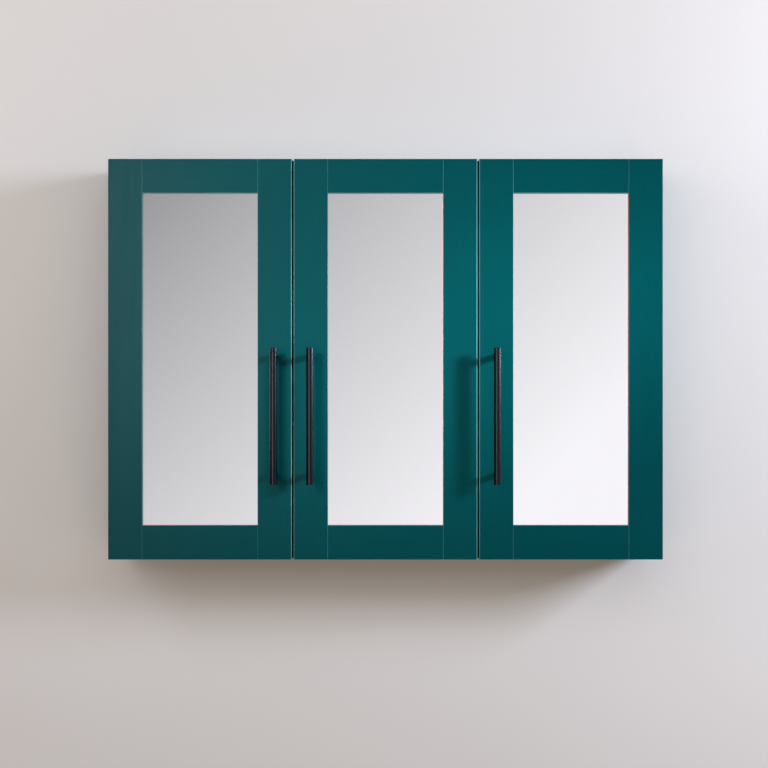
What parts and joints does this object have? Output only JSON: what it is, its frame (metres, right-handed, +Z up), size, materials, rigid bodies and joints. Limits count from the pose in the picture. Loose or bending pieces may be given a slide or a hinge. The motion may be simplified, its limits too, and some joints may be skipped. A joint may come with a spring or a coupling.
{
  "type": "mirror cabinet",
  "caption": "Wall-hung cabinet with framed mirror doors on concealed hinges, bar handles, a partition and glass shelves.",
  "frame": {"origin": "middle of the cabinet's back, on the wall plane", "axes": "+X to the right as seen from the front, +Y into the wall, +Z up"},
  "size_m": [0.9, 0.185, 0.65],
  "materials": {
    "cabinet_paint": "satin teal paint over wood grain",
    "thin_board": "plain thin board",
    "beech_dowel": "raw beech",
    "silvered_mirror": "silvered glass",
    "shelf_glass": "clear float glass, polished edge",
    "black_metal": "satin black",
    "nickel_plate": "nickel plated steel",
    "bright_steel": "zinc plated steel",
    "soft_buffer": "soft clear bumper"
  },
  "bodies": {
    "carcass": {"back_panel": "thin_board", "bottom_panel": "cabinet_paint", "carcass_dowels": "beech_dowel", "door_buffers": "soft_buffer", "glass_shelves_narrow": "shelf_glass", "glass_shelves_wide": "shelf_glass", "hanging_rails": "cabinet_paint", "hinge_arm_pins": "bright_steel", "hinge_arm_screws": "bright_steel", "hinge_arms": "nickel_plate", "hinge_plate_screws": "bright_steel", "hinge_plates": "nickel_plate", "partition": "cabinet_paint", "shelf_pins": "nickel_plate", "side_panel_left": "cabinet_paint", "side_panel_right": "cabinet_paint", "top_panel": "cabinet_paint"},
    "left_door": {"left_door_backing_panel": "cabinet_paint", "left_door_bottom_rail": "cabinet_paint", "left_door_cup_pins": "bright_steel", "left_door_cup_screws": "bright_steel", "left_door_handle_bar": "black_metal", "left_door_handle_posts": "black_metal", "left_door_handle_screws": "bright_steel", "left_door_handle_stile": "cabinet_paint", "left_door_hinge_cups": "nickel_plate", "left_door_hinge_stile": "cabinet_paint", "left_door_mirror": "silvered_mirror", "left_door_top_rail": "cabinet_paint"},
    "left_inner_links": {"left_door_inner_links": "nickel_plate"},
    "left_outer_links": {"left_door_outer_links": "nickel_plate"},
    "middle_door": {"middle_door_backing_panel": "cabinet_paint", "middle_door_bottom_rail": "cabinet_paint", "middle_door_cup_pins": "bright_steel", "middle_door_cup_screws": "bright_steel", "middle_door_handle_bar": "black_metal", "middle_door_handle_posts": "black_metal", "middle_door_handle_screws": "bright_steel", "middle_door_handle_stile": "cabinet_paint", "middle_door_hinge_cups": "nickel_plate", "middle_door_hinge_stile": "cabinet_paint", "middle_door_mirror": "silvered_mirror", "middle_door_top_rail": "cabinet_paint"},
    "middle_inner_links": {"middle_door_inner_links": "nickel_plate"},
    "middle_outer_links": {"middle_door_outer_links": "nickel_plate"},
    "right_door": {"right_door_backing_panel": "cabinet_paint", "right_door_bottom_rail": "cabinet_paint", "right_door_cup_pins": "bright_steel", "right_door_cup_screws": "bright_steel", "right_door_handle_bar": "black_metal", "right_door_handle_posts": "black_metal", "right_door_handle_screws": "bright_steel", "right_door_handle_stile": "cabinet_paint", "right_door_hinge_cups": "nickel_plate", "right_door_hinge_stile": "cabinet_paint", "right_door_mirror": "silvered_mirror", "right_door_top_rail": "cabinet_paint"},
    "right_inner_links": {"right_door_inner_links": "nickel_plate"},
    "right_outer_links": {"right_door_outer_links": "nickel_plate"}
  },
  "joints": [
    {"name": "left_outer_link_swing", "type": "hinge", "parent": "carcass", "child": "left_outer_links", "pos_m": [-0.4198, -0.1075, 0], "axis": [0, 0, 1], "range_deg": [0, 23.7]},
    {"name": "left_door_swing", "type": "hinge", "parent": "left_outer_links", "child": "left_door", "pos_m": [-0.4401, -0.1351, 0], "axis": [0, 0, -1], "range_deg": [0, 113.6]},
    {"name": "left_inner_link_swing", "type": "hinge", "parent": "carcass", "child": "left_inner_links", "pos_m": [-0.4151, -0.1263, 0], "axis": [0, 0, 1], "range_deg": [0, 27.94]},
    {"name": "middle_outer_link_swing", "type": "hinge", "parent": "carcass", "child": "middle_outer_links", "pos_m": [0.1188, -0.1075, 0], "axis": [0, 0, -1], "range_deg": [0, 23.7]},
    {"name": "middle_door_swing", "type": "hinge", "parent": "middle_outer_links", "child": "middle_door", "pos_m": [0.1391, -0.1351, 0], "axis": [0, 0, 1], "range_deg": [0, 113.6]},
    {"name": "middle_inner_link_swing", "type": "hinge", "parent": "carcass", "child": "middle_inner_links", "pos_m": [0.1141, -0.1263, 0], "axis": [0, 0, -1], "range_deg": [0, 27.94]},
    {"name": "right_outer_link_swing", "type": "hinge", "parent": "carcass", "child": "right_outer_links", "pos_m": [0.4198, -0.1075, 0], "axis": [0, 0, -1], "range_deg": [0, 23.7]},
    {"name": "right_door_swing", "type": "hinge", "parent": "right_outer_links", "child": "right_door", "pos_m": [0.4401, -0.1351, 0], "axis": [0, 0, 1], "range_deg": [0, 113.6]},
    {"name": "right_inner_link_swing", "type": "hinge", "parent": "carcass", "child": "right_inner_links", "pos_m": [0.4151, -0.1263, 0], "axis": [0, 0, -1], "range_deg": [0, 27.94]}
  ],
  "couplings": [
    {"joint": "left_outer_link_swing", "follows": "left_door_swing", "ratio": 0.20775},
    {"joint": "left_inner_link_swing", "follows": "left_door_swing", "ratio": 0.24507},
    {"joint": "middle_outer_link_swing", "follows": "middle_door_swing", "ratio": 0.20775},
    {"joint": "middle_inner_link_swing", "follows": "middle_door_swing", "ratio": 0.24507},
    {"joint": "right_outer_link_swing", "follows": "right_door_swing", "ratio": 0.20775},
    {"joint": "right_inner_link_swing", "follows": "right_door_swing", "ratio": 0.24507}
  ]
}
